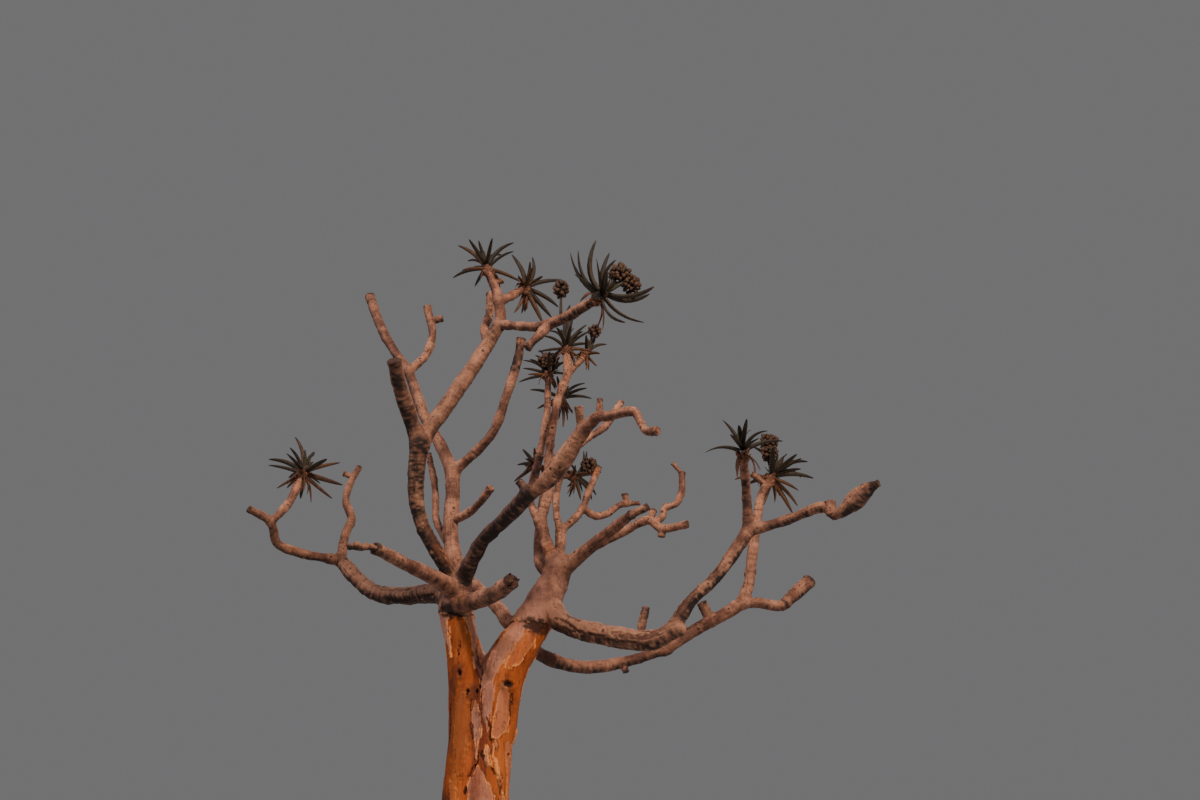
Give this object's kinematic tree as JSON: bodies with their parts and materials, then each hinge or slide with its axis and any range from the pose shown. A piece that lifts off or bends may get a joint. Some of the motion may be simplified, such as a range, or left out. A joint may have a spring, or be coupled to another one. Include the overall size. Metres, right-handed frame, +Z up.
{
  "type": "quiver tree",
  "caption": "Old quiver tree: stout flared trunk that forks low, bare curving boughs with blunt dead ends, and rosettes of stiff pointed leaves on those that still grow.",
  "frame": {"origin": "middle of the flat cut under the trunk, at ground level", "axes": "+Z up, +X to the right and -Y towards the viewer in the picture"},
  "size_m": [4.1943, 2.9182, 5.5383],
  "materials": {
    "trunk_bark": "golden-brown papery bark with lilac-grey plates that peel",
    "bough_bark": "smooth dusky pink-grey bark, ringed with old leaf scars",
    "dark_bark": "weathered dark brown bark",
    "leaves": "matt dark olive leaves with ochre undersides",
    "flower_heads": "dry brown spent flower heads"
  },
  "bodies": {
    "root": {"trunk": "trunk_bark", "left_stem": "bough_bark", "right_stem": "bough_bark", "left_sweep": "bough_bark", "sweep_spur": "bough_bark", "left_reach": "bough_bark", "reach_arm": "bough_bark", "front_arm": "bough_bark", "broken_arm": "dark_bark", "tall_bough": "bough_bark", "tall_stub": "bough_bark", "tall_arm": "bough_bark", "crown_side": "bough_bark", "crown_rear": "bough_bark", "crown_arm": "bough_bark", "cross_bough": "bough_bark", "rear_bough": "bough_bark", "rear_left": "bough_bark", "rear_left_tip": "bough_bark", "rear_left_twig": "bough_bark", "rear_right": "bough_bark", "rear_spur": "bough_bark", "rear_twig": "bough_bark", "dark_bough": "dark_bark", "elbow_bough": "bough_bark", "hooked_arm": "bough_bark", "elbow_twig": "bough_bark", "right_bough": "bough_bark", "right_riser": "bough_bark", "right_post": "bough_bark", "right_tip": "bough_bark", "low_bough": "bough_bark", "low_rise": "bough_bark", "low_post": "bough_bark", "low_tip": "bough_bark", "fan_bough": "bough_bark", "fan_lower": "bough_bark", "fan_hook": "bough_bark", "mid_bough": "bough_bark", "mid_post": "bough_bark", "mid_arm": "bough_bark", "mid_reach": "bough_bark", "near_shaft": "bough_bark", "left_shaft": "bough_bark", "right_shaft": "bough_bark", "rear_shaft": "bough_bark", "reach_rosette": "leaves", "crown_rosette": "leaves", "side_rosette": "leaves", "fruiting_rosette": "leaves", "top_rosette": "leaves", "twig_rosette": "leaves", "left_shaft_rosette": "leaves", "rear_shaft_rosette": "leaves", "mid_rosette": "leaves", "dark_rosette": "leaves", "post_rosette": "leaves", "low_rosette": "leaves", "bud_cluster": "flower_heads"}
  },
  "joints": []
}
